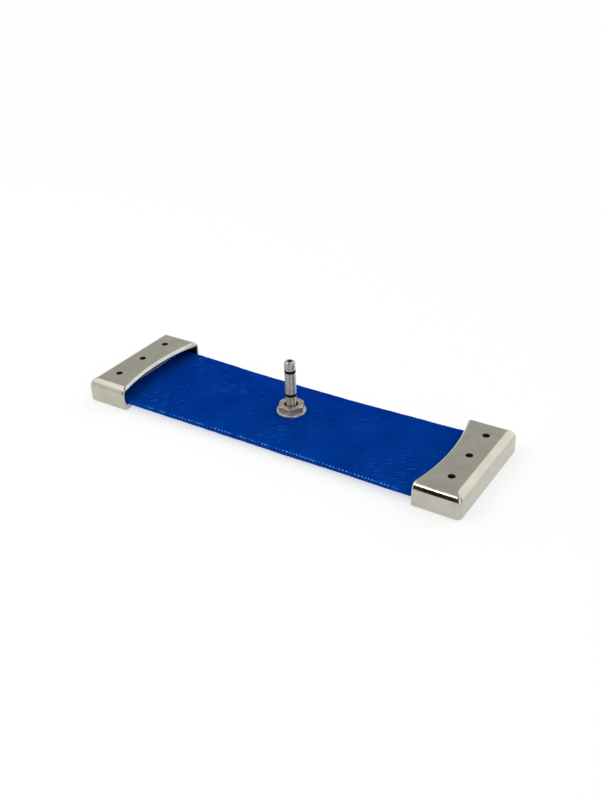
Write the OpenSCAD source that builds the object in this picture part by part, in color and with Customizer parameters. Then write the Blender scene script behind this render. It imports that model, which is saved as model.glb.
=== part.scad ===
// Flat hose bladder: a short length of lay-flat hose, pinched shut in an end clamp at each end,
// with a hollow inlet stem fixed through the middle of its upper wall.
// Millimetres, +Z up. X runs along the hose and Y across it. The origin is on the surface that the
// clamps stand on, below the stem.

/* [Overall] */
// Length over both end clamps
overall_l = 302; // [290:1:330]
// Gap left where a soft or loose piece only touches its neighbour
touch_gap = 0.02; // [0.01:0.01:0.05]

/* [End clamps] */
// Width of a clamp across the hose
clamp_w = 91.4; // [91:0.1:94]
// Height of a clamp
clamp_h = 18; // [17.5:0.1:20]
// From the outer face to the middle of the concave mouth
clamp_l = 29.3; // [28.5:0.1:32]
// From the outer face to the ends of the side walls
cheek_l = 34.2; // [33.5:0.1:36]
// Radius of the concave mouth, seen from above, where it meets the top face
mouth_r = 171; // [150:1:200]
// Radius of the rolled lip along the mouth
lip_r = 3; // [2:0.1:3.2]
// Radius of the edges round the top face
edge_r = 6.8; // [5:0.1:7]
// Radius of the edges round the underside
foot_r = 2; // [1:0.1:3]
// Radius of the outer corners, seen from above
corner_r = 4; // [3:0.1:6]
// Thickness of the top wall
top_wall = 3.4; // [3:0.1:4]
// Thickness of the bottom wall
floor_wall = 4; // [3:0.1:4.5]
// Thickness of the side walls
side_wall = 2.4; // [2:0.1:2.6]
// Thickness of the outer end wall
end_wall = 4; // [3:0.1:5]

/* [Clamping screws] */
// Thread size of the set screws
screw_d = 5; // [4:0.5:6]
// Length of a set screw
screw_l = 4; // [4:0.5:5]
// Running clearance between a screw and its hole, on the radius
screw_clear = 0.05; // [0.02:0.01:0.1]
// Width of the hex socket in a screw, across its flats
socket_af = 2.5; // [2:0.5:3]
// From the outer face to the row of screws
screw_inset = 15.3; // [14:0.1:17]
// Distance between neighbouring screws
screw_pitch = 27; // [24:0.5:30]

/* [Clamp bars] */
// Width of a bar along the hose
bar_w = 14; // [10:0.5:15]
// Length of a bar across the hose
bar_l = 84.6; // [80:0.1:85]
// Thickness of a bar
bar_t = 5; // [4:0.1:5.2]

/* [Hose] */
// Width of the hose where it lies flat
hose_w = 85; // [80:0.5:86]
// Width of the hose at its waist, below the stem
waist_w = 81.6; // [76:0.2:84]
// Thickness of the hose wall
wall_t = 1.4; // [1:0.1:1.6]
// Thickness of both walls and what is between them, where it lies flat
flat_t = 3.6; // [3.4:0.1:3.8]
// Thickness of the hose at its waist
belly_t = 10.8; // [9:0.1:11]
// How much lower the folded edges lie at the waist than in the clamps
fold_drop = 1; // [0:0.1:1.5]
// Length of hose held inside a clamp, measured from the outer face
hose_inset = 8; // [6:0.5:10]
// Thickness of the strip that seals the hose under a bar
strip_t = 0.76; // [0.6:0.02:0.76]

/* [Stem] */
// Diameter of the stem where a coupler slides over it
stem_d = 7.8; // [7.6:0.1:9]
// Height of the stem's tip above the surface that the clamps stand on
stem_top = 51.2; // [50:0.1:60]
// Diameter of the passage through the stem
passage_d = 3.4; // [3:0.1:3.6]
// Diameter of the threaded shank
shank_d = 10; // [9:0.5:14]
// Diameter of the neck above the nut
neck_d = 6.9; // [6.5:0.1:7.2]
// Diameter of the stem's head, inside the hose
head_d = 16; // [15:0.5:18]
// Thickness of the O-rings
ring_t = 1.8; // [1.6:0.1:1.9]
// How far the O-rings stand out of the stem
ring_proud = 0.2; // [0.1:0.05:0.25]
// Height of the lower O-ring
ring_low = 24.9; // [24.5:0.1:26]
// Height of the upper O-ring
ring_high = 43.5; // [40:0.1:44]

/* [Nut and washers] */
// Width of the nut across its flats
nut_af = 17; // [16:0.5:20]
// Height of the nut
nut_h = 5; // [3.5:0.1:5.5]
// Turn of the nut from having a corner along the hose
nut_turn = -3; // [-30:1:30]
// Diameter of the washers and the gasket
washer_d = 21; // [20:0.5:23]
// Thickness of the washers
washer_t = 1.2; // [1:0.1:1.5]
// Thickness of the gasket
gasket_t = 1; // [0.8:0.1:1.5]

/* [Hidden] */
$fn = 64;
half_l = overall_l / 2;
half_w = clamp_w / 2;
left = -1;
right = 1;

// End clamps
cheek_x = half_l - cheek_l;
mouth_x = half_l - clamp_l;
lip_run_r = mouth_r - lip_r;
mouth_cx = mouth_x - lip_run_r;
roof_z = clamp_h - top_wall;
over = 1;

// Screws and bars
screw_x = half_l - screw_inset;
screw_r = screw_d / 2 - screw_clear;
screw_chamfer = 0.4;
socket_depth = 2;
cup_r = 1.3;
cup_depth = 0.6;
point_r = 1.7;
bar_z = floor_wall + flat_t + touch_gap;
bar_top = bar_z + bar_t;
bar_corner = 2;
screw_z = bar_top + touch_gap;

// Hose
flat_z = floor_wall + touch_gap;
hose_z = flat_z + flat_t / 2;
hose_x = half_l - hose_inset;
flat_lead = 2.2;
hose_flat_x = cheek_x + flat_lead;
pad_half = 12;
waist_power = 1.6;
fold_belly = 2.2;
fold_steps = 6;
crown_steps = 10;
run_steps = 12;
hose_top = hose_z + belly_t / 2;
strip_margin = 3.5;
strip_l = hose_w - 2 * strip_margin;

// Stem, nut and washers
washer_z = hose_top + touch_gap;
nut_z = washer_z + washer_t;
gasket_z = hose_top - wall_t - touch_gap - gasket_t;
backing_z = gasket_z - washer_t;
head_t = 2;
head_z = backing_z - head_t;
nut_recess = 2;
shank_top = nut_z + nut_h - nut_recess;
shank_chamfer = 0.5;
barrel_foot = 0.8;
barrel_z = ring_low - ring_t / 2 - barrel_foot;
tip_r = 1.8;
passage_flare = 0.2;
groove_w = ring_t + 0.4;
ring_outer_r = stem_d / 2 + ring_proud;
ring_mid_r = ring_outer_r - ring_t / 2;
groove_r = ring_outer_r - ring_t - touch_gap;
bore_clear = 0.05;
washer_clear = 0.25;
washer_bore_d = shank_d + 2 * washer_clear;
nut_chamfer = 0.5;
nut_face_inset = 0.2;
nut_corner_r = nut_af / 2 / cos(30);

// Puts a piece made for the right end at either end
module at_end(side) { mirror([side == left ? 1 : 0, 0, 0]) children(); }

// A square corner cut away to leave a round edge: the corner is at the origin, the solid below left
module edge_cut(r) {
    translate([-r, -r]) difference() {
        square(r + over);
        circle(r);
    }
}

// The clamp's outline seen along the hose, with the rounded edges that run along its two sides
module side_view() {
    difference() {
        translate([-half_w, 0]) square([clamp_w, clamp_h]);
        for (turn = [0, 1]) mirror([turn, 0]) {
            translate([half_w, clamp_h]) edge_cut(edge_r);
            translate([half_w, 0]) mirror([0, 1]) edge_cut(foot_r);
        }
    }
}

// The clamp's outline seen across the hose, with the rounded edges of its outer end
module end_view() {
    difference() {
        translate([cheek_x, 0]) square([cheek_l, clamp_h]);
        translate([half_l, clamp_h]) edge_cut(edge_r);
        translate([half_l, 0]) mirror([0, 1]) edge_cut(foot_r);
    }
}

// The clamp's outline seen from above, with its rounded outer corners
module top_view() {
    difference() {
        translate([cheek_x - over, -half_w - over]) square([cheek_l + over, clamp_w + 2 * over]);
        for (turn = [0, 1]) mirror([0, turn]) translate([half_l, half_w]) edge_cut(corner_r);
    }
}

// The clamp's outside, before its mouth and hollow are cut
module clamp_blank() {
    intersection() {
        translate([cheek_x - over, 0, 0]) rotate([90, 0, 90]) linear_extrude(cheek_l + 2 * over)
            side_view();
        translate([0, half_w + over, 0]) rotate([90, 0, 0]) linear_extrude(clamp_w + 2 * over)
            end_view();
        translate([0, 0, -over]) linear_extrude(clamp_h + 2 * over) top_view();
    }
}

// Everything inboard of the concave mouth, with the lip rolled over at its top edge
module mouth_cutter() {
    translate([mouth_cx, 0, 0]) rotate_extrude($fn = 256) {
        translate([0, -over]) square([lip_run_r, clamp_h + 2 * over]);
        translate([lip_run_r, clamp_h]) mirror([1, 0]) edge_cut(lip_r);
    }
}

module end_clamp(side) {
    color("silver") at_end(side) difference() {
        clamp_blank();
        mouth_cutter();
        translate([cheek_x - over, side_wall - half_w, floor_wall])
            cube([cheek_l - end_wall + over, clamp_w - 2 * side_wall, roof_z - floor_wall]);
        for (row = [-1, 0, 1])
            translate([screw_x, row * screw_pitch, roof_z - over])
                cylinder(r = screw_d / 2, h = top_wall + 2 * over);
    }
}

module clamp_bar(side) {
    color("dimgray") at_end(side) translate([screw_x, 0, bar_z]) {
        long = [bar_w, bar_l - 2 * bar_corner];
        wide = [bar_w - 2 * bar_corner, bar_l];
        linear_extrude(bar_t) {
            square(long, center = true);
            square(wide, center = true);
            for (x = [-1, 1], y = [-1, 1])
                translate([x * wide[0] / 2, y * long[1] / 2]) circle(bar_corner);
        }
    }
}

// Cup-point set screw, with a hex socket in its top
module set_screw(side, row) {
    color("gray") translate([side * screw_x, row * screw_pitch, screw_z]) difference() {
        rotate_extrude() polygon([
            [0, cup_depth], [cup_r, 0], [point_r, 0], [screw_r, screw_r - point_r],
            [screw_r, screw_l - screw_chamfer], [screw_r - screw_chamfer, screw_l], [0, screw_l]
        ]);
        translate([0, 0, screw_l - socket_depth])
            cylinder(r = socket_af / 2 / cos(30), h = socket_depth + over, $fn = 6);
    }
}

module seal_strip(side) {
    color("black") at_end(side)
        translate([screw_x - bar_w / 2, -strip_l / 2, hose_z - strip_t / 2])
            cube([bar_w, strip_l, strip_t]);
}

// 1 over the pad at the stem, falling smoothly to 0 where the hose enters a clamp
function belly(x) =
    let (u = (abs(x) - pad_half) / (hose_flat_x - pad_half))
    u <= 0 ? 1 : u >= 1 ? 0 : pow(1 - u * u, waist_power);
function half_width(x) = (hose_w - (hose_w - waist_w) * belly(x)) / 2;
function fold_r(x) = flat_t / 2 + (fold_belly - flat_t / 2) * belly(x);
function fold_z(x) = hose_z - fold_drop * belly(x);
// How far the hose stands out between its folded edges, above them (side 1) or below them (side -1):
// flat over the pad, then a curve back to the fold
function crown(x, y, side) =
    let (
        most = (belly_t / 2 - fold_belly + side * fold_drop) * belly(x),
        reach = half_width(x) - fold_r(x),
        v = (abs(y) - pad_half) / (reach - pad_half)
    )
    v <= 0 ? most : most * (1 - v * v);

// A closed ring round the hose at x, the wall's thickness times depth inside its outer surface
function hose_ring(x, depth) =
    let (reach = half_width(x) - fold_r(x), r = fold_r(x) - depth * wall_t)
    [for (side = [1, -1]) each concat(
        [for (i = [0:fold_steps]) let (a = 180 * i / fold_steps - 90)
            [x, side * (reach + r * cos(a)), fold_z(x) + side * r * sin(a)]],
        [for (i = [1:crown_steps - 1]) let (y = side * reach * (1 - 2 * i / crown_steps))
            [x, y, fold_z(x) + side * (r + crown(x, y, side))]])];

// Stations along the hose: both ends, where it lies flat, the pad, and between them
hose_run = [for (i = [0:run_steps]) pad_half + (hose_flat_x - pad_half) * i / run_steps];
hose_stations = concat(
    [-hose_x], [for (i = [run_steps:-1:0]) -hose_run[i]], hose_run, [hose_x]);

// One closed tube: its outer surface, its inner surface, and the two open ends between them
module hose_body() {
    ring_n = 2 * (fold_steps + crown_steps);
    run_n = len(hose_stations);
    points = [for (depth = [0, 1], x = hose_stations) each hose_ring(x, depth)];
    function at(depth, i, j) = (depth * run_n + i) * ring_n + j % ring_n;
    sides = [for (i = [0:run_n - 2], j = [0:ring_n - 1]) each [
        [at(0, i, j), at(0, i, j + 1), at(0, i + 1, j + 1)],
        [at(0, i, j), at(0, i + 1, j + 1), at(0, i + 1, j)],
        [at(1, i, j), at(1, i + 1, j + 1), at(1, i, j + 1)],
        [at(1, i, j), at(1, i + 1, j), at(1, i + 1, j + 1)]]];
    ends = [for (j = [0:ring_n - 1]) each [
        [at(0, 0, j), at(1, 0, j), at(1, 0, j + 1)],
        [at(0, 0, j), at(1, 0, j + 1), at(0, 0, j + 1)],
        [at(0, run_n - 1, j), at(1, run_n - 1, j + 1), at(1, run_n - 1, j)],
        [at(0, run_n - 1, j), at(0, run_n - 1, j + 1), at(1, run_n - 1, j + 1)]]];
    polyhedron(points, concat(sides, ends));
}

module hose_sleeve() {
    color("mediumblue") difference() {
        hose_body();
        translate([0, 0, hose_z]) cylinder(d = washer_bore_d, h = belly_t);
    }
}

// A flat ring on the stem's axis
module flat_ring(z, t, outer_d, inner_d) {
    translate([0, 0, z]) difference() {
        cylinder(d = outer_d, h = t);
        translate([0, 0, -over]) cylinder(d = inner_d, h = t + 2 * over);
    }
}

module flange_gasket() { color("black") flat_ring(gasket_z, gasket_t, washer_d, washer_bore_d); }

module backing_washer() { color("silver") flat_ring(backing_z, washer_t, washer_d, washer_bore_d); }

module flat_washer() { color("silver") flat_ring(washer_z, washer_t, washer_d, washer_bore_d); }

// Head, threaded shank, neck, barrel with two O-ring grooves, and a passage right through
module inlet_stem() {
    color("lightgray") difference() {
        rotate_extrude() difference() {
            union() {
                translate([0, head_z]) square([head_d / 2, head_t]);
                translate([0, head_z]) square([shank_d / 2, shank_top - shank_chamfer - head_z]);
                translate([0, head_z]) square([shank_d / 2 - shank_chamfer, shank_top - head_z]);
                translate([0, head_z]) square([neck_d / 2, barrel_z + over - head_z]);
                translate([0, barrel_z]) difference() {
                    square([stem_d / 2, stem_top - barrel_z]);
                    translate([stem_d / 2, stem_top - barrel_z]) edge_cut(tip_r);
                }
            }
            for (z = [ring_low, ring_high])
                translate([groove_r, z - groove_w / 2]) square([stem_d, groove_w]);
            translate([0, head_z - over]) square([passage_d / 2, stem_top - head_z + 2 * over]);
            translate([passage_d / 2, stem_top]) polygon([
                [0, over], [0, -passage_flare], [passage_flare, 0], [passage_flare, over]]);
        }
    }
}

module o_ring(z) {
    color("black") translate([0, 0, z]) rotate_extrude() translate([ring_mid_r, 0]) circle(d = ring_t);
}

module hex_nut() {
    color("silver") translate([0, 0, nut_z]) rotate([0, 0, nut_turn]) difference() {
        intersection() {
            cylinder(r = nut_corner_r, h = nut_h, $fn = 6);
            rotate_extrude() polygon([
                [0, 0], [nut_corner_r, 0], [nut_corner_r, nut_h - nut_chamfer],
                [nut_af / 2 - nut_face_inset, nut_h], [0, nut_h]
            ]);
        }
        translate([0, 0, -over]) cylinder(r = shank_d / 2 + bore_clear, h = nut_h + 2 * over);
    }
}

end_clamp(left);  // end_clamp_left
end_clamp(right);  // end_clamp_right
clamp_bar(left);  // clamp_bar_left
clamp_bar(right);  // clamp_bar_right
set_screw(left, -1);  // set_screw_left_front
set_screw(left, 0);  // set_screw_left_middle
set_screw(left, 1);  // set_screw_left_rear
set_screw(right, -1);  // set_screw_right_front
set_screw(right, 0);  // set_screw_right_middle
set_screw(right, 1);  // set_screw_right_rear
seal_strip(left);  // seal_strip_left
seal_strip(right);  // seal_strip_right
hose_sleeve();
flange_gasket();
backing_washer();
inlet_stem();
o_ring(ring_low);  // o_ring_lower
o_ring(ring_high);  // o_ring_upper
flat_washer();
hex_nut();
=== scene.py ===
"""Looks for the flat hose bladder: plated end clamps, a glossy blue lay-flat hose and a turned inlet stem.

Lengths are in metres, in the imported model's own frame: X along the hose, Y across it, Z up.
"""
import math

import bmesh
import bpy
import numpy as np
from mathutils import Matrix, Vector, noise


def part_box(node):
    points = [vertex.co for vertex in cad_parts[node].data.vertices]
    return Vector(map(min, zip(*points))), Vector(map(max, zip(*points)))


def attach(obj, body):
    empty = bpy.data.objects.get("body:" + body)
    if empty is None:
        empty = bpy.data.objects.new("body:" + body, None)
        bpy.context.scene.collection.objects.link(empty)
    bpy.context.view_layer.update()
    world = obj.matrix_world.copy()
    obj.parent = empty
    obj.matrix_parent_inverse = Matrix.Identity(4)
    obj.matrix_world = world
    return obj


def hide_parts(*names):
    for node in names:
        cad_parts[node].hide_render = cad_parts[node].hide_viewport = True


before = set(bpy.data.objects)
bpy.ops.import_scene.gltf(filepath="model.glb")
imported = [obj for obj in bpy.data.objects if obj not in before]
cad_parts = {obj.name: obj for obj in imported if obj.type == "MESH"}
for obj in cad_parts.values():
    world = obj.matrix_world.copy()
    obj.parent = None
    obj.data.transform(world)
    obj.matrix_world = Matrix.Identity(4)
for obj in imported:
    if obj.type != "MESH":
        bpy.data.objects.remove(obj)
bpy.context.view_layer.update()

TAU = 2 * math.pi
ROOT = "bladder"
SIDES = ("left", "right")
ROWS = ("front", "middle", "rear")

# ---------------------------------------------------------------- camera

CAMERA_PLACE = (0.3336, -0.5004, 0.3732)
CAMERA_YAW = 33.06
CAMERA_PITCH = 30.45
CAMERA_ROLL = -1.85
CAMERA_LENS = 44.53


def make_camera():
    yaw, pitch, roll = (math.radians(v) for v in (CAMERA_YAW, CAMERA_PITCH, CAMERA_ROLL))
    forward = Vector((-math.sin(yaw) * math.cos(pitch), math.cos(yaw) * math.cos(pitch), -math.sin(pitch)))
    level = Vector((math.cos(yaw), math.sin(yaw), 0))
    upright = level.cross(forward)
    right = level * math.cos(roll) + upright * math.sin(roll)
    up = upright * math.cos(roll) - level * math.sin(roll)
    data = bpy.data.cameras.new("camera")
    data.lens = CAMERA_LENS
    data.clip_start = 0.01
    camera = bpy.data.objects.new("camera", data)
    bpy.context.scene.collection.objects.link(camera)
    turn = Matrix((right, up, -forward)).transposed().to_4x4()
    camera.matrix_world = Matrix.Translation(CAMERA_PLACE) @ turn
    bpy.context.scene.camera = camera


make_camera()

# ---------------------------------------------------------------- materials


class Shader:
    """A principled material, with short calls for the nodes that its parts use."""

    def __init__(self, name):
        self.material = bpy.data.materials.new(name)
        self.material.use_nodes = True
        self.tree = self.material.node_tree
        self.surface = self.tree.nodes["Principled BSDF"]

    def node(self, kind, inputs=None, **settings):
        made = self.tree.nodes.new(kind)
        for key, value in settings.items():
            setattr(made, key, value)
        for key, value in (inputs or {}).items():
            self.feed(made.inputs[key], value)
        return made

    def feed(self, socket, value):
        if isinstance(value, bpy.types.NodeSocket):
            self.tree.links.new(value, socket)
        else:
            socket.default_value = value

    def set(self, **inputs):
        for key, value in inputs.items():
            self.feed(self.surface.inputs[key.replace("_", " ").title().replace("Ior", "IOR")], value)

    def place(self, stretch=(1, 1, 1), turn=0.0, source="Object"):
        """Position on the piece, turned about Z and then stretched along each axis."""
        spot = self.node("ShaderNodeTexCoord").outputs[source]
        if turn:
            spot = self.mapping(spot, "Rotation", (0, 0, turn))
        return self.mapping(spot, "Scale", stretch)

    def mapping(self, spot, change, amount):
        return self.node("ShaderNodeMapping", {"Vector": spot, change: amount}).outputs["Vector"]

    def noise(self, vector, scale, detail=2.0, rough=0.5):
        return self.node("ShaderNodeTexNoise", {
            "Vector": vector, "Scale": scale, "Detail": detail, "Roughness": rough}).outputs["Fac"]

    def ramp(self, value, low, high, low_at=0.0, high_at=1.0):
        """value spread between two numbers or two colours."""
        if isinstance(low, (int, float)):
            return self.node("ShaderNodeMapRange", {
                "Value": value, "From Min": low_at, "From Max": high_at,
                "To Min": low, "To Max": high}).outputs["Result"]
        mix = self.node("ShaderNodeMix", data_type="RGBA")
        share = self.ramp(value, 0.0, 1.0, low_at, high_at)
        for socket, given in zip((mix.inputs[0], mix.inputs[6], mix.inputs[7]), (share, low, high)):
            self.feed(socket, given if isinstance(given, bpy.types.NodeSocket) else (*given, 1))
        return mix.outputs[2]

    def math(self, operation, a, b=0.0):
        made = self.node("ShaderNodeMath", operation=operation)
        self.feed(made.inputs[0], a)
        self.feed(made.inputs[1], b)
        return made.outputs[0]

    def bump(self, height, distance, strength=1.0, before=None):
        inputs = {"Height": height, "Distance": distance, "Strength": strength}
        if before is not None:
            inputs["Normal"] = before
        return self.node("ShaderNodeBump", inputs).outputs["Normal"]


def nickel_plate():
    """Polished cast clamp under bright nickel: slow waves from polishing and faint handling haze."""
    s = Shader("nickel_plate")
    spot = s.place()
    haze = s.noise(spot, 90, 4)
    s.set(metallic=1.0, base_color=s.ramp(haze, (0.47, 0.458, 0.385), (0.535, 0.52, 0.445), 0.35, 0.7),
          roughness=s.ramp(s.noise(spot, 260, 3), 0.12, 0.2, 0.3, 0.7))
    waves = s.bump(s.noise(spot, 330, 2), 0.00007, before=s.bump(s.noise(spot, 55, 1), 0.00012))
    s.set(normal=s.bump(s.noise(spot, 900, 2), 0.00001, before=waves))
    return s.material


def turned_steel(name, colour, roughness, rings=2600, tint=None, shine=1.0):
    """Steel turned on a lathe: fine rings round Z spread its shine up and down, and its colour varies."""
    s = Shader(name)
    s.set(anisotropic=1.0, anisotropic_rotation=0.25,
          tangent=s.node("ShaderNodeTangent", direction_type="RADIAL", axis="Z").outputs["Tangent"])
    ring = s.noise(s.place((0.02, 0.02, 1)), rings, 2)
    spot = s.place()
    cloud = s.noise(spot, 330, 2)
    other = tint or tuple(0.86 * c for c in colour)
    s.set(metallic=shine, base_color=s.ramp(cloud, colour, other, 0.35, 0.65),
          roughness=s.ramp(ring, roughness * 0.75, roughness * 1.3, 0.3, 0.7))
    s.set(normal=s.bump(ring, 0.00001))
    return s.material


def rubber():
    """Moulded black rubber with a fine matt grain."""
    s = Shader("moulded_rubber")
    grain = s.noise(s.place(), 3500, 3)
    s.set(base_color=s.ramp(grain, (0.001, 0.001, 0.001), (0.004, 0.004, 0.004)),
          roughness=s.ramp(grain, 0.55, 0.75), specular_ior_level=0.08)
    s.set(normal=s.bump(grain, 0.00002))
    return s.material


def hose_cover():
    """Glossy extruded cover that follows the weave under it, with painted highlights: light blue painted on
    the ribs' crests on its folds' upper shoulders.
    Its UV map is in metres along and round the hose."""
    s = Shader("hose_cover")
    warp, weft = 0.00125, 0.00165
    split = s.node("ShaderNodeSeparateXYZ", {"Vector": s.place((1 / warp, 1 / weft, 1), source="UV")})
    ridge_a = s.math("ABSOLUTE", s.math("SINE", s.math("MULTIPLY", split.outputs["X"], math.pi)))
    ridge_b = s.math("ABSOLUTE", s.math("SINE", s.math("MULTIPLY", split.outputs["Y"], math.pi)))
    weave = s.math("MAXIMUM", ridge_a, ridge_b)
    glints = s.noise(s.place((140, 680, 1), math.radians(33), "UV"), 1.0, 3, 0.6)
    cloud = s.noise(s.place(source="UV"), 38, 2)
    painted_glint = s.node("ShaderNodeAttribute", attribute_name="painted_glint").outputs["Fac"]
    deep = s.ramp(cloud, (0.0, 0.037, 0.28), (0.001, 0.050, 0.35), 0.3, 0.7)
    bright = s.ramp(s.noise(s.place(source="UV"), 22, 2), (0.0, 0.050, 0.34), (0.02, 0.13, 0.52), 0.42, 0.6)
    # Painted highlight: the cover is painted a lighter blue where the glint noise is high.
    cover = s.ramp(glints, deep, bright, 0.54, 0.78)
    # Painted highlight: the ribs' crests on the fold shoulders are painted light blue, for glints.
    s.set(base_color=s.ramp(painted_glint, cover, (0.14, 0.42, 0.86), 0.25, 0.9), metallic=0.35,
          roughness=s.ramp(glints, 0.34, 0.20, 0.35, 0.7), specular_ior_level=0.0,
          specular_tint=(0.0, 0.2, 0.6, 1))
    fine = s.bump(weave, 0.00005, 0.55)
    s.set(normal=s.bump(glints, 0.0005, 0.6, before=fine))
    return s.material


def black_oxide():
    """Blackened set screws, slightly oily."""
    s = Shader("black_oxide")
    grain = s.noise(s.place(), 1800, 3)
    s.set(metallic=1.0, base_color=s.ramp(grain, (0.014, 0.013, 0.012), (0.04, 0.038, 0.034)),
          roughness=s.ramp(grain, 0.28, 0.42))
    s.set(normal=s.bump(grain, 0.00001))
    return s.material


def painted_bore_shade():
    """Painted shade: dark steel for inside the tapped holes and other bores and recesses, standing in for
    the shade that falls there.
    """
    s = Shader("painted_bore_shade")
    ring = s.noise(s.place((0.05, 0.05, 1)), 1500, 2)
    s.set(metallic=1.0, base_color=s.ramp(ring, (0.012, 0.012, 0.010), (0.045, 0.043, 0.038), 0.35, 0.65),
          roughness=s.ramp(ring, 0.35, 0.5))
    return s.material


NICKEL = nickel_plate()
STEM_STEEL = turned_steel("stem_steel", (0.54, 0.525, 0.46), 0.37, shine=0.9)
NUT_STEEL = turned_steel("nut_zinc", (0.40, 0.41, 0.24), 0.3, 900, (0.44, 0.31, 0.36), shine=0.75)
WASHER_STEEL = turned_steel("washer_zinc", (0.66, 0.66, 0.61), 0.3, 700, (0.52, 0.55, 0.50), shine=0.7)
SCREW_STEEL = black_oxide()
PAINTED_SHADE_STEEL = painted_bore_shade()
BAR_STEEL = turned_steel("bar_steel", (0.45, 0.45, 0.44), 0.35, 1200)
RUBBER = rubber()
HOSE_COVER = hose_cover()

# ---------------------------------------------------------------- mesh helpers


def mesh_object(name, points, faces):
    mesh = bpy.data.meshes.new(name)
    mesh.from_pydata([tuple(p) for p in points], [], faces)
    made = bmesh.new()
    made.from_mesh(mesh)
    bmesh.ops.recalc_face_normals(made, faces=made.faces)
    made.to_mesh(mesh)
    made.free()
    obj = bpy.data.objects.new(name, mesh)
    bpy.context.scene.collection.objects.link(obj)
    return obj


def apply_modifiers(obj):
    graph = bpy.context.evaluated_depsgraph_get()
    mesh = bpy.data.meshes.new_from_object(obj.evaluated_get(graph))
    obj.modifiers.clear()
    obj.data = mesh


def carve(obj, cutters):
    """Takes the cutters away from obj, and removes them."""
    for cutter in cutters:
        cut = obj.modifiers.new("carve", "BOOLEAN")
        cut.operation = "DIFFERENCE"
        cut.solver = "EXACT"
        cut.object = cutter
    apply_modifiers(obj)
    for cutter in cutters:
        bpy.data.objects.remove(cutter)


def ease_edges(obj, width, segments=2, angle=38):
    """Breaks every sharp edge, as a tumbled or plated part has it."""
    bevel = obj.modifiers.new("ease", "BEVEL")
    bevel.width = width
    bevel.segments = segments
    bevel.limit_method = "ANGLE"
    bevel.angle_limit = math.radians(angle)
    bevel.use_clamp_overlap = True
    apply_modifiers(obj)


def finish_piece(obj, material, body, slot, *nodes, sharp=32):
    """Gives a piece its material, shading and body, and hides the CAD nodes it stands for. Its slot argument
    is not used.
    """
    obj.data.materials.clear()
    obj.data.materials.append(material)
    obj.data.shade_smooth()
    obj.data.set_sharp_from_angle(angle=math.radians(sharp))
    weighted = obj.modifiers.new("weighted", "WEIGHTED_NORMAL")
    weighted.keep_sharp = True
    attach(obj, body)
    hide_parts(*nodes)
    return obj


def paint_shade_inside(obj, inside):
    """Paints shade on the faces inside a bore or recess, giving them the dark painted-shade steel."""
    obj.data.materials.append(PAINTED_SHADE_STEEL)
    for face in obj.data.polygons:
        if inside(face.center):
            face.material_index = 1


def soften(points, radius, steps=3, closed=True):
    """The outline with each corner rounded by about radius."""
    made = []
    count = len(points)
    for i, corner in enumerate(points):
        if not closed and i in (0, count - 1):
            made.append(corner)
            continue
        here = Vector(corner)
        ends = []
        for other in (points[i - 1], points[(i + 1) % count]):
            run = Vector(other) - here
            ends.append(here + run.normalized() * min(radius, run.length * 0.45))
        for k in range(steps + 1):
            t = k / steps
            made.append(tuple(ends[0] * (1 - t) ** 2 + here * (2 * t * (1 - t)) + ends[1] * t ** 2))
    return made


def revolve(name, rows, columns, ring=False, centre=(0.0, 0.0)):
    """Turns rows of (radius, height) about Z. Either may be a function of the angle."""
    points, faces = [], []
    for radius, height in rows:
        for i in range(columns):
            a = TAU * i / columns
            r = radius(a) if callable(radius) else radius
            z = height(a) if callable(height) else height
            points.append((centre[0] + r * math.cos(a), centre[1] + r * math.sin(a), z))
    last = len(rows) if ring else len(rows) - 1
    for j in range(last):
        low, high = j * columns, (j + 1) % len(rows) * columns
        for i in range(columns):
            k = (i + 1) % columns
            faces.append((low + i, low + k, high + k, high + i))
    if not ring:
        faces.append(tuple(range(columns - 1, -1, -1)))
        faces.append(tuple(range((len(rows) - 1) * columns, len(rows) * columns)))
    return mesh_object(name, points, faces)


def thread_rows(low, high, tip, root, pitch, shift=0.0, steps=8):
    """Rows of a right-hand screw thread from low to high, its teeth reaching from the root to the tip and
    running out at each end. A nut's thread is shifted half a pitch, so that it runs between the screw's."""
    def radius_at(z):
        fade = max(0.0, min(1.0, (z - low) / (0.4 * pitch), (high - z) / (0.4 * pitch)))

        def radius(a):
            phase = (z / pitch - a / TAU + shift) % 1.0
            tooth = min(1.0, max(0.0, 1.7 * (1 - abs(2 * phase - 1)) - 0.3))
            return root + (tip - root) * tooth * fade
        return radius

    count = round((high - low) / pitch * steps)
    return [(radius_at(low + (high - low) * i / count), low + (high - low) * i / count)
            for i in range(count + 1)]


def hexagon(flats, turn=0.0, most=None):
    """Radius of a hexagon at an angle, its corners cut back to most."""
    def radius(a):
        off = (a - turn) % (TAU / 6) - TAU / 12
        r = flats / 2 / math.cos(off)
        return min(r, most) if most else r
    return radius


def arc(cx, cy, r, start, stop, steps):
    """Points round an arc, angles in degrees."""
    turn = [math.radians(start + (stop - start) * i / steps) for i in range(steps + 1)]
    return [(cx + r * math.cos(a), cy + r * math.sin(a)) for a in turn]


# ---------------------------------------------------------------- end clamps

CLAMP_LOW, CLAMP_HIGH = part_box("end_clamp_right")
HALF_W = CLAMP_HIGH.y
CLAMP_H = CLAMP_HIGH.z
OUTER_X = CLAMP_HIGH.x
CHEEK_X = CLAMP_LOW.x
MOUTH_DEPTH = 0.0293
MOUTH_R = 0.171
LIP_R = 0.003
EDGE_R = 0.0068
FOOT_R = 0.002
CORNER_R = 0.004
MITRE_R = 0.0009
CHEEK_R = 0.0015
HOLLOW_R = 0.0012
PLATED_EDGE = 0.0003
TOP_WALL = 0.0034
FLOOR_WALL = 0.004
SIDE_WALL = 0.0024
END_WALL = 0.004
SCREW_PITCH = 0.0008
SCREW_BORE_R = 0.0025
BORE_TOOTH = 0.00022
BORE_SINK = 0.00005
MOUTH_REACH = math.radians(22)
MOUTH_CUT = 0.03
OVER = 0.001
# A hair, for telling a surface from what lies beside it and for parting one row from the next
HAIR = 0.0001


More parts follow.
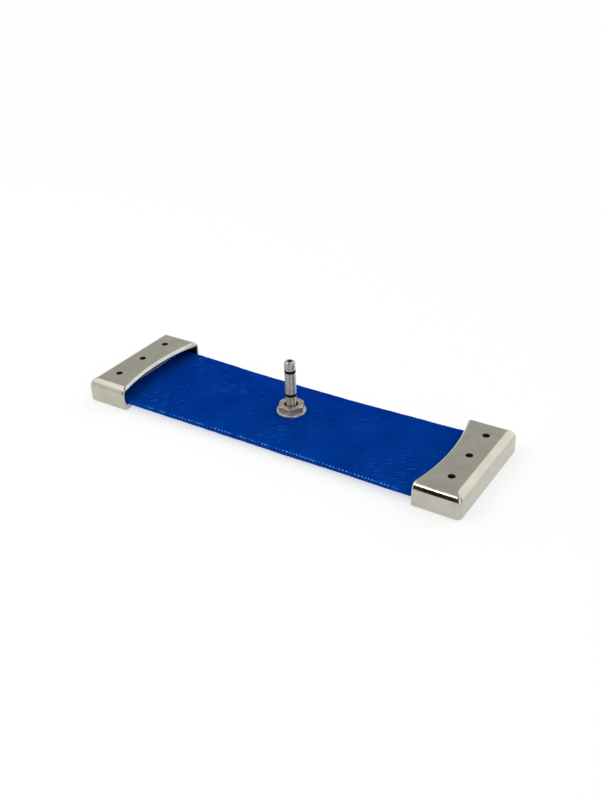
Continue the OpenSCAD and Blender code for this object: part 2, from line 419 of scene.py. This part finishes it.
def stack(name, rings):
    """A solid from outlines of (x, y, z), stacked from the bottom to the top."""
    count = len(rings[0])
    points = [point for ring in rings for point in ring]
    faces = []
    for low in range(0, len(points) - count, count):
        high = low + count
        faces += [(low + j, low + (j + 1) % count, high + (j + 1) % count, high + j) for j in range(count)]
    faces.append(tuple(range(count - 1, -1, -1)))
    faces.append(tuple(range(len(points) - count, len(points))))
    return mesh_object(name, points, faces)


def rim_section(height, top_r, foot_r, steps, low=0.0):
    """How far a rounded rim stands in from the sides at each height, from the bottom up."""
    foot = [(foot_r - x, low + foot_r + y) for x, y in arc(0, 0, foot_r, -90, 0, steps // 2)]
    top = [(top_r - x, low + height - top_r + y) for x, y in arc(0, 0, top_r, 0, 90, steps)]
    return foot + top


def clamp_ring(inset, z):
    """The clamp's outline where its rim stands in by inset. The rounded edges meet in a soft mitre."""
    r = max(CORNER_R - inset, MITRE_R)
    x, y = OUTER_X - inset - r, HALF_W - inset - r
    rise = max(0.0, z - CLAMP_H + LIP_R)
    end_x = CHEEK_X + LIP_R - math.sqrt(LIP_R ** 2 - rise ** 2) + CHEEK_R
    end_y = HALF_W - inset - CHEEK_R
    outline = arc(end_x, -end_y, CHEEK_R, -180, -90, 8) + arc(x, -y, r, -90, 0, 12)
    outline += arc(x, y, r, 0, 90, 12) + arc(end_x, end_y, CHEEK_R, 90, 180, 8)
    return [(px, py, z) for px, py in outline]


def clamp_blank():
    return stack("clamp", [clamp_ring(*row) for row in rim_section(CLAMP_H, EDGE_R, FOOT_R, 24)])


def mouth_cutter():
    """All that lies inboard of the concave mouth, with the lip rolled over its top edge."""
    run = MOUTH_R - LIP_R
    centre = OUTER_X - MOUTH_DEPTH - run
    roll = [(MOUTH_R - x, z) for x, z in arc(0, CLAMP_H - LIP_R, LIP_R, 0, 90, 12)]
    profile = [(run, -OVER)] + roll + [(MOUTH_R, CLAMP_H + OVER)]
    steps = 128
    points, faces = [], []
    rows = len(profile) + 2
    inner = run - MOUTH_CUT
    for i in range(steps + 1):
        a = -MOUTH_REACH + 2 * MOUTH_REACH * i / steps
        for r, z in [(inner, -OVER)] + profile + [(inner, CLAMP_H + OVER)]:
            points.append((centre + r * math.cos(a), r * math.sin(a), z))
    for i in range(steps):
        for j in range(rows):
            k = (j + 1) % rows
            faces.append((i * rows + j, i * rows + k, (i + 1) * rows + k, (i + 1) * rows + j))
    faces.append(tuple(range(rows)))
    faces.append(tuple(range((steps + 1) * rows - 1, steps * rows - 1, -1)))
    return mesh_object("mouth_cutter", points, faces)


def hollow_cutter():
    """The clamp's inside, with cast fillets along its corners."""
    y, low, high = HALF_W - SIDE_WALL, FLOOR_WALL, CLAMP_H - TOP_WALL
    outline = soften([(-y, low), (y, low), (y, high), (-y, high)], HOLLOW_R, 5)
    count = len(outline)
    points = [(x, py, pz) for x in (CHEEK_X - OVER, OUTER_X - END_WALL) for py, pz in outline]
    faces = [(i, (i + 1) % count, count + (i + 1) % count, count + i) for i in range(count)]
    faces += [tuple(range(count)), tuple(range(2 * count - 1, count - 1, -1))]
    return mesh_object("hollow_cutter", points, faces)


def hole_cutter(x, y):
    """A tapped hole through the top wall, with a countersunk mouth."""
    low, high, root = CLAMP_H - TOP_WALL, CLAMP_H, SCREW_BORE_R
    rows = [(root, low - OVER), (root, low - HAIR)]
    rows += thread_rows(low, high - BORE_SINK, root - BORE_TOOTH, root, SCREW_PITCH, shift=0.5)
    rows += [(root, high - BORE_SINK), (root + BORE_SINK, high), (root + BORE_SINK, high + OVER)]
    return revolve("hole_cutter", rows, 48, centre=(x, y))


def screw_centre(side, row):
    low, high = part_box(f"set_screw_{side}_{row}")
    return (low.x + high.x) / 2, (low.y + high.y) / 2


def mirror_x(obj):
    obj.data.transform(Matrix.Scale(-1, 4, (1, 0, 0)))
    obj.data.flip_normals()


def end_clamp(side):
    obj = clamp_blank()
    obj.name = f"{side}_end_clamp"
    carve(obj, [mouth_cutter(), hollow_cutter()])
    ease_edges(obj, PLATED_EDGE)
    if side == "left":
        mirror_x(obj)
    centres = [screw_centre(side, row) for row in ROWS]
    carve(obj, [hole_cutter(x, y) for x, y in centres])
    finish_piece(obj, NICKEL, ROOT, "plated_clamp", f"end_clamp_{side}")

    def in_a_hole(spot):
        reach = min(math.hypot(spot.x - x, spot.y - y) for x, y in centres)
        return reach < SCREW_BORE_R + HAIR and spot.z < CLAMP_H - HAIR / 10

    # Painted shade: the tapped holes' walls and countersinks are painted dark.
    paint_shade_inside(obj, in_a_hole)


# ---------------------------------------------------------------- screws and bars

SCREW_THREAD = 0.0003
SCREW_SOCKET = 0.0025
CUP_R = 0.0013
CUP_DEPTH = 0.0006
POINT_R = 0.0017
SCREW_CHAMFER = 0.00035
DRILL_POINT = 0.0004

def set_screw(side, row):
    """Cup-point set screw with a rolled thread and a hex socket."""
    node = f"set_screw_{side}_{row}"
    low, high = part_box(node)
    crest, length = (high.x - low.x) / 2, high.z - low.z
    root = crest - SCREW_THREAD
    point_top = low.z + root - POINT_R
    socket = hexagon(SCREW_SOCKET)
    rows = [(HAIR, low.z + CUP_DEPTH), (CUP_R, low.z + 0.3 * HAIR), (CUP_R + HAIR, low.z),
            (POINT_R, low.z), (root, point_top)]
    rows += thread_rows(point_top + HAIR, high.z - SCREW_CHAMFER, crest, root, SCREW_PITCH)
    rows += [(root - HAIR / 2, high.z - HAIR / 2), (root - HAIR, high.z)]
    rows += [(lambda a: socket(a) + HAIR, high.z), (socket, high.z - HAIR),
             (socket, high.z - length / 2), (HAIR, high.z - length / 2 - DRILL_POINT)]
    obj = revolve(f"{side}_{row}_set_screw", rows, 48, centre=screw_centre(side, row))
    finish_piece(obj, SCREW_STEEL, f"screw_{side}_{row}", "screw_steel", node)


def slab(name, node, corner_r, edge_r):
    """A flat bar in a CAD node's box, with rounded corners and edges."""
    low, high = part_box(node)
    rings = []
    for inset, z in rim_section(high.z - low.z, edge_r, edge_r, 6, low.z):
        x, y = high.x - corner_r, high.y - corner_r
        other_x, other_y = low.x + corner_r, low.y + corner_r
        ring = []
        for start, cx, cy in ((0, x, y), (90, other_x, y), (180, other_x, other_y), (270, x, other_y)):
            ring += arc(cx, cy, corner_r - inset, start, start + 90, 8)
        rings.append([(px, py, z) for px, py in ring])
    return stack(name, rings)


def clamp_bar(side):
    node = f"clamp_bar_{side}"
    finish_piece(slab(f"{side}_clamp_bar", node, 0.002, 0.0005), BAR_STEEL, f"bar_{side}", "bar_steel", node)


def seal_strip(side):
    node = f"seal_strip_{side}"
    finish_piece(slab(f"{side}_seal_strip", node, 0.001, 0.0002), RUBBER, ROOT, "black_rubber", node)


# ---------------------------------------------------------------- hose

HOSE_LOW, HOSE_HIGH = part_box("hose_sleeve")
HOSE_X = HOSE_HIGH.x
HOSE_W = HOSE_HIGH.y * 2
HOSE_Z = (HOSE_LOW.z + HOSE_HIGH.z) / 2
BELLY = HOSE_HIGH.z - HOSE_LOW.z
WAIST_W = 0.0816
FLAT_T = 0.0036
WALL_T = 0.0014
FOLD_BELLY = 0.0022
FOLD_DROP = 0.001
SHOULDER = math.radians(46)
SHOULDER_SPREAD = 0.28
RIB_PITCH = 0.0025
FLAT_X = CHEEK_X + 0.0022
PAD = 0.012
WAIST_POWER = 1.6
HOSE_STEP = 0.0005
INNER_STATIONS = 96
FOLD_STEPS = 14
CROWN_STEPS = 64
SHANK_HOLE_R = 0.00525
# How far the cover's relief stands in or out
DENT = 0.00045
CREASE = 0.00016
RIPPLE = 0.00005
PUCKER = 0.00012
RIB = 0.00028
# The flat ring under the washer, and the puckers round it
PAD_R = 0.0108
PAD_FADE = 0.006
PUCKER_R = 0.014
PUCKER_COUNT = 13


def belly_at(x):
    u = np.clip((np.abs(x) - PAD) / (FLAT_X - PAD), 0, 1)
    return (1 - u * u) ** WAIST_POWER


def hose_grid(stations, depth):
    """Points of the hose at depth inside its outer surface, as stations by points round it, with how much
    each point round it is on a folded edge and on the upper shoulder of one."""
    belly = belly_at(stations)[:, None]
    radius = FLAT_T / 2 + (FOLD_BELLY - FLAT_T / 2) * belly
    reach = (HOSE_W - (HOSE_W - WAIST_W) * belly) / 2 - radius
    fold_z = HOSE_Z - FOLD_DROP * belly
    inner = radius - depth
    turn = np.radians(np.linspace(-90, 90, FOLD_STEPS + 1))[None, :]
    share = np.linspace(1, -1, CROWN_STEPS + 1)[None, 1:-1]
    ys, zs, folds, shoulders = [], [], [], []
    for side in (1, -1):
        ys += [side * (reach + inner * np.cos(turn)), side * reach * share]
        v = np.clip((np.abs(reach * share) - PAD) / (reach - PAD), 0, 1)
        rise = (BELLY / 2 - FOLD_BELLY + side * FOLD_DROP) * belly
        zs += [fold_z + side * inner * np.sin(turn), fold_z + side * (inner + rise * (1 - v * v))]
        folds += [np.cos(turn[0]) ** 0.5, np.zeros(share.shape[1])]
        off = (side * turn[0] - SHOULDER) / SHOULDER_SPREAD
        shoulders += [np.exp(-off ** 2), np.zeros(share.shape[1])]
    y, z = np.hstack(ys), np.hstack(zs)
    x = np.broadcast_to(stations[:, None], y.shape)
    return np.stack([x, y, z], axis=2), np.concatenate(folds), np.concatenate(shoulders)


def grid_normals(grid):
    along = np.gradient(grid, axis=0)
    around = np.roll(grid, -1, axis=1) - np.roll(grid, 1, axis=1)
    normal = np.cross(around, along)
    normal /= np.linalg.norm(normal, axis=2, keepdims=True)
    outward = np.sum(normal[:, :, 2] * np.sign(grid[:, :, 2] - HOSE_Z)) > 0
    return normal if outward else -normal


def noise_field(grid, scale, seed):
    """Smooth noise at each point. scale is cycles a metre along X, Y and Z."""
    flat = grid.reshape(-1, 3) * np.array(scale) + seed
    return np.array([noise.noise(Vector(p)) for p in flat]).reshape(grid.shape[:2])


def turned(grid, degrees):
    a = math.radians(degrees)
    x, y, z = grid[:, :, 0], grid[:, :, 1], grid[:, :, 2]
    return np.stack([x * math.cos(a) + y * math.sin(a), y * math.cos(a) - x * math.sin(a), z], axis=2)


def rib_wave(grid):
    """The weave's ribs along the hose, from 0 between two ribs to 1 on a crest."""
    wander = noise_field(grid, (70, 0, 0), 7.7) * 3.0
    return np.abs(np.sin(np.pi * grid[:, :, 0] / RIB_PITCH + wander))


def painted_glint_crests(grid, shoulders):
    """How much painted glint highlight the cover gets: on the ribs' crests along the folds' upper shoulder,
    and more at some places than at others.
    """
    patches = np.clip(0.8 + 2 * grid[:, :, 0] + 1.2 * noise_field(grid, (160, 0, 0), 41.9), 0.3, 1)
    inside = np.clip((FLAT_X - 0.004 - np.abs(grid[:, :, 0])) / 0.02, 0, 1)
    return rib_wave(grid) ** 3 * shoulders[None, :] * patches * inside


def hose_relief(grid, folds):
    """How far the cover stands in or out: long dents, slanting creases, puckers round the washer, and
    the weave's ribs where the hose is folded."""
    x, y = grid[:, :, 0], grid[:, :, 1]
    free = np.clip((FLAT_X + 0.0005 - np.abs(x)) / 0.012, 0, 1)
    free = free * free * (3 - 2 * free)
    away = np.hypot(x, y)
    off_pad = np.where(grid[:, :, 2] > HOSE_Z, np.clip((away - PAD_R) / PAD_FADE, 0, 1), 1)
    dents = noise_field(grid, (18, 30, 60), 3.7) * DENT
    creases = noise_field(turned(grid, 33), (45, 260, 60), 11.3) * CREASE
    ripples = noise_field(turned(grid, 29), (110, 620, 60), 23.9) * RIPPLE
    spokes = np.cos(np.arctan2(y, x) * PUCKER_COUNT + 2 * noise_field(grid, (90, 90, 1), 5.1))
    puckers = spokes * np.exp(-((away - PUCKER_R) / PAD_FADE) ** 2) * PUCKER
    ribs = rib_wave(grid) - 0.5
    uneven = 0.6 + 0.8 * (0.5 + noise_field(grid, (60, 40, 40), 31.1))
    relief = (dents + creases + ripples + puckers) * off_pad * free
    return relief + ribs * uneven * folds[None, :] * RIB * free


def hose_tube():
    count = int(2 * HOSE_X / HOSE_STEP)
    stations = np.linspace(-HOSE_X, HOSE_X, count + 1)
    outer, folds, shoulders = hose_grid(stations, 0)
    relief = hose_relief(outer, folds)
    # Painted highlight mask: where the fold ribs' crests are painted light blue.
    painted_glint = painted_glint_crests(outer, shoulders)
    outer = outer + grid_normals(outer) * relief[:, :, None]
    inner, _, _ = hose_grid(np.linspace(-HOSE_X, HOSE_X, INNER_STATIONS), WALL_T)
    ring = outer.shape[1]
    points = np.vstack([outer.reshape(-1, 3), inner.reshape(-1, 3)])
    faces = []
    starts = (0, outer.shape[0] * ring)
    for start, rows in zip(starts, (outer.shape[0], inner.shape[0])):
        for i in range(rows - 1):
            low, high = start + i * ring, start + (i + 1) * ring
            faces += [(low + j, low + (j + 1) % ring, high + (j + 1) % ring, high + j) for j in range(ring)]
    ends = ((0, starts[1]), (starts[1] - ring, len(points) - ring))
    for a, b in ends:
        faces += [(a + j, a + (j + 1) % ring, b + (j + 1) % ring, b + j) for j in range(ring)]
    obj = mesh_object("blue_hose", points, faces)
    add_hose_uv(obj, outer, inner)
    layer = obj.data.attributes.new("painted_glint", "FLOAT", "POINT")
    layer.data.foreach_set("value", np.concatenate([painted_glint.ravel(), np.zeros(inner.shape[0] * ring)]))
    return obj


def add_hose_uv(obj, outer, inner):
    """A UV map in metres, along the hose and round it from the front fold."""
    def round_hose(grid):
        steps = np.linalg.norm(np.diff(grid, axis=1, append=grid[:, :1]), axis=2)
        middle = steps[len(steps) // 2]
        return np.concatenate([[0], np.cumsum(middle)])

    ring = outer.shape[1]
    arcs = (round_hose(outer), round_hose(inner))
    split = outer.shape[0] * ring
    xs = np.concatenate([outer[:, 0, 0], inner[:, 0, 0]])
    layer = obj.data.uv_layers.new(name="UVMap")
    values = np.zeros((len(obj.data.loops), 2), np.float32)
    for face in obj.data.polygons:
        around = [v % ring for v in face.vertices]
        wraps = 0 in around and ring - 1 in around
        for loop, v, j in zip(face.loop_indices, face.vertices, around):
            place = ring if wraps and j == 0 else j
            values[loop] = (xs[v // ring], arcs[0 if v < split else 1][place])
    layer.data.foreach_set("uv", values.ravel())


def stem_hole_cutter():
    rows = [(SHANK_HOLE_R, HOSE_Z), (SHANK_HOLE_R, HOSE_HIGH.z + OVER)]
    return revolve("stem_hole_cutter", rows, 64)


def blue_hose():
    obj = hose_tube()
    carve(obj, [stem_hole_cutter()])
    finish_piece(obj, HOSE_COVER, ROOT, "blue_hose", "hose_sleeve", sharp=50)


# ---------------------------------------------------------------- stem, nut, washers and rings

STEM_LOW, STEM_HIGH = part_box("inlet_stem")
NUT_LOW, NUT_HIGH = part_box("hex_nut")
NUT_TURN = math.radians(-3)
NUT_FLATS = 0.017
NUT_RECESS = 0.002
SHANK_R = 0.005
STEM_R = 0.0039
NECK_R = 0.00345
TIP_R = 0.0018
BARREL_FOOT = 0.0008
PASSAGE_R = 0.0017
RING_PROUD = 0.0002
GROOVE_W = 0.0022
FINE_PITCH = 0.001
THREAD_DEPTH = 0.0005
HEAD_T = 0.002
NUT_TOOTH = 0.00042
NUT_BEVEL = math.radians(28)
NUT_BLUNT = math.radians(28.6)
STEM_COLUMNS = 96


def ring_box(node):
    """Height, section and outer radius of an O-ring."""
    low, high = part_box(node)
    return (low.z + high.z) / 2, high.z - low.z, high.x


def inlet_stem():
    """Head, threaded shank, neck, and a barrel with two O-ring grooves round a through passage."""
    head_low, top = STEM_LOW.z, STEM_HIGH.z
    head_r = STEM_HIGH.x
    shank_top = NUT_HIGH.z - NUT_RECESS
    shank_low = head_low + HEAD_T
    low_ring, section, _ = ring_box("o_ring_lower")
    high_ring = ring_box("o_ring_upper")[0]
    groove_r = STEM_R + RING_PROUD - section
    barrel_low = low_ring - section / 2 - BARREL_FOOT
    outside = [(PASSAGE_R, head_low), (head_r, head_low)]
    outside += [(head_r, shank_low), (SHANK_R - THREAD_DEPTH, shank_low)]
    above = [(SHANK_R - 0.0007, shank_top), (NECK_R, shank_top), (NECK_R, barrel_low), (STEM_R, barrel_low)]
    for z in (low_ring, high_ring):
        above += [(STEM_R, z - GROOVE_W / 2), (groove_r, z - GROOVE_W / 2),
                  (groove_r, z + GROOVE_W / 2), (STEM_R, z + GROOVE_W / 2)]
    rows = soften(outside, 0.0003, 3, closed=False)
    thread = (shank_low + 4 * HAIR, shank_top - 3 * HAIR)
    rows += thread_rows(*thread, SHANK_R, SHANK_R - THREAD_DEPTH, FINE_PITCH)
    rows += soften(above, 0.00018, 3, closed=False)
    rows += [(STEM_R - TIP_R + x, top - TIP_R + z) for x, z in arc(0, 0, TIP_R, 0, 90, 12)]
    rows += [(PASSAGE_R + HAIR, top - HAIR / 2), (PASSAGE_R, top - 2 * HAIR), (PASSAGE_R, top - 0.002)]
    rows += [(PASSAGE_R, head_low + 0.0005)]
    obj = revolve("turned_inlet_stem", rows, STEM_COLUMNS, ring=True)
    finish_piece(obj, STEM_STEEL, ROOT, "stem_steel", "inlet_stem")

    # Painted shade: the O-ring grooves, the passage and everything below the shank's top are painted dark.
    def in_painted_shade(spot):
        reach = math.hypot(spot.x, spot.y)
        in_groove = min(abs(spot.z - low_ring), abs(spot.z - high_ring)) < GROOVE_W / 2 + 0.00002
        in_bore = reach < PASSAGE_R + 0.00003
        return in_groove or in_bore or spot.z < shank_top + 0.00005

    paint_shade_inside(obj, in_painted_shade)


def hex_nut():
    """Thin nut: chamfered on top, its corners a little blunt, threaded inside."""
    low, high = NUT_LOW.z, NUT_HIGH.z
    outer = hexagon(NUT_FLATS, NUT_TURN, NUT_FLATS / 2 / math.cos(NUT_BLUNT))
    face_r = NUT_FLATS / 2 - 0.0003
    slope = math.tan(NUT_BEVEL)
    bore = SHANK_R + 0.00008
    edge = 0.00012

    def brim(a):
        return high - (outer(a) - face_r) * slope

    rows = [(bore + 0.0003, low), (lambda a: outer(a) - 2 * edge, low), (lambda a: outer(a), low + 2 * edge),
            (lambda a: outer(a), lambda a: brim(a) - edge), (lambda a: outer(a) - edge, lambda a: brim(a)),
            (face_r + edge, high - edge / 2), (face_r - edge, high),
            (bore + 0.0005, high), (bore + 0.0003, high - 0.0001)]
    thread = thread_rows(low + 0.0003, high - 0.0004, bore - NUT_TOOTH, bore, FINE_PITCH, shift=0.5)
    rows += list(reversed(thread))
    obj = revolve("zinc_hex_nut", rows, 120, ring=True)
    finish_piece(obj, NUT_STEEL, ROOT, "nut_steel", "hex_nut", sharp=24)
    # Painted shade: the nut's threaded bore is painted dark.
    paint_shade_inside(obj, lambda spot: math.hypot(spot.x, spot.y) < bore + HAIR)


def round_washer(name, node, material, slot, edge):
    """A ring with a rectangular section and eased edges."""
    low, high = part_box(node)
    outline = [(SHANK_HOLE_R, low.z), (high.x, low.z), (high.x, high.z), (SHANK_HOLE_R, high.z)]
    obj = revolve(name, soften(outline, edge, 4), STEM_COLUMNS, ring=True)
    finish_piece(obj, material, ROOT, slot, node)


def o_ring(name, node):
    """Round section with the mould's faint parting line."""
    z, section, outer_r = ring_box(node)
    middle, flash = outer_r - section / 2, 0.00002
    rows = []
    for i in range(28):
        a = TAU * i / 28
        r = section / 2 - flash + (flash if i in (0, 14) else 0)
        rows.append((middle + r * math.cos(a), z + r * math.sin(a)))
    finish_piece(revolve(name, rows, STEM_COLUMNS, ring=True), RUBBER, ROOT, "black_rubber", node, sharp=60)


for side in SIDES:
    end_clamp(side)
    clamp_bar(side)
    seal_strip(side)
    for row in ROWS:
        set_screw(side, row)
blue_hose()
inlet_stem()
hex_nut()
round_washer("outer_washer", "flat_washer", WASHER_STEEL, "washer_steel", 0.0003)
round_washer("inner_washer", "backing_washer", WASHER_STEEL, "washer_steel", 0.0003)
round_washer("inner_gasket", "flange_gasket", RUBBER, "black_rubber", 0.0002)
o_ring("lower_o_ring", "o_ring_lower")
o_ring("upper_o_ring", "o_ring_upper")

# ---------------------------------------------------------------- floor and light


TABLE_HALF = 8
TABLE_GLOW = 0.66
ROOM_LEVEL = 0.95
# What the camera sees past the table, in place of the panels
SEEN_LEVEL = 1.0
# Panels round the part: compass bearing in degrees from +X, half width, height from and to, edge, brightness
PANELS = [
    (60, 360, 42, 100, 12, 1.45),
    (60, 360, 62, 100, 4, 0.6),
    (58, 38, 4, 60, 10, 1.35),
    (124, 26, 12, 60, 7, 0.6),
    (-110, 14, -3, 48, 3, 0.01),
    (-72, 18, -1, 60, 5, 0.05),
    (-30, 12, -1, 60, 6, 1.7),
    (4, 14, -1, 50, 6, 0.35),
]


def pale_floor():
    """A pale table, lit a little from below as a light table is."""
    points = [(x * TABLE_HALF, y * TABLE_HALF, 0) for x, y in ((-1, -1), (1, -1), (1, 1), (-1, 1))]
    floor = mesh_object("floor", points, [(0, 1, 2, 3)])
    s = Shader("pale_floor")
    s.set(base_color=(0.36, 0.36, 0.36, 1), roughness=0.8, specular_ior_level=0.1,
          emission_color=(1, 1, 1, 1), emission_strength=TABLE_GLOW)
    floor.data.materials.append(s.material)


def soft_box(name, place, target, width, height, power):
    data = bpy.data.lights.new(name, "AREA")
    data.shape = "RECTANGLE"
    data.size, data.size_y = width, height
    data.energy = power
    lamp = bpy.data.objects.new(name, data)
    bpy.context.scene.collection.objects.link(lamp)
    lamp.visible_camera = False
    lamp.location = place
    lamp.rotation_euler = (Vector(target) - Vector(place)).to_track_quat("-Z", "Y").to_euler()


class Sky:
    """The studio's surroundings, built up from soft-edged panels."""

    def __init__(self):
        self.world = bpy.data.worlds.new("studio")
        self.world.use_nodes = True
        self.tree = self.world.node_tree
        looking = self.tree.nodes.new("ShaderNodeSeparateXYZ")
        direction = self.tree.nodes.new("ShaderNodeTexCoord").outputs["Generated"]
        self.tree.links.new(direction, looking.inputs["Vector"])
        self.bearing = self.work("ARCTAN2", looking.outputs["Y"], looking.outputs["X"])
        self.height = self.work("ARCSINE", looking.outputs["Z"])

    def add(self, kind, operation=None, *inputs):
        made = self.tree.nodes.new(kind)
        if operation:
            made.operation = operation
        for socket, value in zip((s for s in made.inputs if s.type == "VALUE"), inputs):
            if isinstance(value, bpy.types.NodeSocket):
                self.tree.links.new(value, socket)
            else:
                socket.default_value = value
        return made

    def work(self, operation, *inputs):
        return self.add("ShaderNodeMath", operation, *inputs).outputs[0]

    def window(self, value, middle, half, edge):
        """1 within half of the middle, falling to 0 over the edge."""
        off = self.work("ABSOLUTE", self.work("SUBTRACT", value, math.radians(middle)))
        inner, outer = math.radians(half), math.radians(half + edge)
        made = self.add("ShaderNodeMapRange", None, off, inner, outer, 1.0, 0.0)
        made.interpolation_type = "SMOOTHSTEP"
        return made.outputs["Result"]

    def panel(self, level, bearing, half, low, high, edge, brightness):
        share = self.work("MULTIPLY", self.window(self.bearing, bearing, half, edge),
                          self.window(self.height, (low + high) / 2, (high - low) / 2, edge))
        return self.add("ShaderNodeMix", None, share, level, brightness).outputs["Result"]


def studio_world():
    sky = Sky()
    level = ROOM_LEVEL
    for panel in PANELS:
        level = sky.panel(level, *panel)
    seen = sky.tree.nodes.new("ShaderNodeLightPath").outputs["Is Camera Ray"]
    level = sky.add("ShaderNodeMix", None, seen, level, SEEN_LEVEL).outputs["Result"]
    background = sky.tree.nodes["Background"]
    sky.tree.links.new(level, background.inputs["Strength"])
    background.inputs["Color"].default_value = (1.0, 1.0, 0.99, 1)
    bpy.context.scene.world = sky.world


pale_floor()
studio_world()
soft_box("front_light", (-0.43, -0.72, 1.0), (0, 0, 0), 0.5, 0.12, 2.2)
bpy.context.scene.view_settings.view_transform = "Standard"
